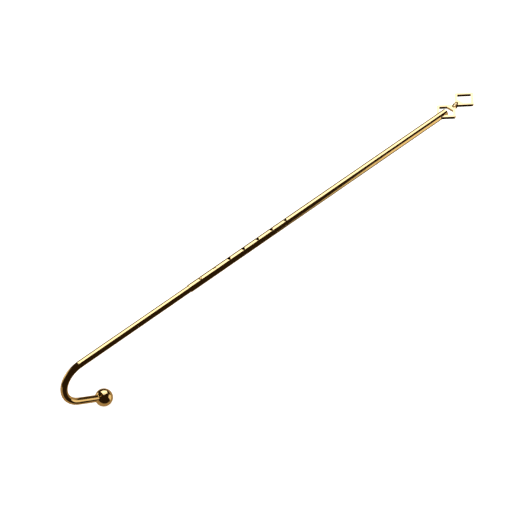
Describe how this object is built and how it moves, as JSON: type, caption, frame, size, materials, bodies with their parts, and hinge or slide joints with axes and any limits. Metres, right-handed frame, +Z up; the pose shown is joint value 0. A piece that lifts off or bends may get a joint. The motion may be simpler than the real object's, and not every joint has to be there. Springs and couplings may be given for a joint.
{
  "type": "telescoping hook rod",
  "caption": "Adjustable-length tube with a snap button and adjusting holes, a ball-tipped hook at one end and linked square rings at the other.",
  "frame": {"origin": "level with the ball's lowest point, under the middle of the bounding box", "axes": "+X along the rod from the hook to the links, +Z up through the adjusting holes, the hook bends down towards -Z"},
  "size_m": [0.7574, 0.0368, 0.1037],
  "materials": {
    "tube_gold": "polished gold tone, drawn tube",
    "rod_gold": "polished gold tone",
    "link_gold": "polished pale gold tone",
    "button_gold": "polished gold tone",
    "plain_steel": "plain spring steel"
  },
  "bodies": {
    "outer": {"outer_tube": "tube_gold", "tip_plug": "tube_gold"},
    "hook": {"hook_rod": "rod_gold", "ball_stud": "plain_steel", "ball": "rod_gold", "spring_leaf": "plain_steel"},
    "button": {"snap_button": "button_gold"},
    "near_link": {"near_link": "link_gold"},
    "joining_ring": {"joining_ring": "link_gold"},
    "far_link": {"far_link": "link_gold"}
  },
  "joints": [
    {"name": "rod_slide", "type": "slide", "parent": "outer", "child": "hook", "axis": [1, 0, 0], "range_m": [0, 0.15]},
    {"name": "button_press", "type": "slide", "parent": "hook", "child": "button", "axis": [0, 0, -1], "range_m": [0, 0.0016], "stiffness_N_per_m": 800, "springref_m": -0.002, "deforming": ["spring_leaf"]},
    {"name": "near_link_swing", "type": "hinge", "parent": "outer", "child": "near_link", "pos_m": [0.31045, 0, 0.09695], "axis": [0, 1, 0], "range_deg": [-12, 12]},
    {"name": "joining_ring_swing", "type": "hinge", "parent": "near_link", "child": "joining_ring", "pos_m": [0.33571, 0, 0.09695], "axis": [0, 1, 0], "range_deg": [-11, 11]},
    {"name": "far_link_swing", "type": "hinge", "parent": "joining_ring", "child": "far_link", "pos_m": [0.34702, 0, 0.09695], "axis": [0, 1, 0], "range_deg": [-11, 11]}
  ]
}
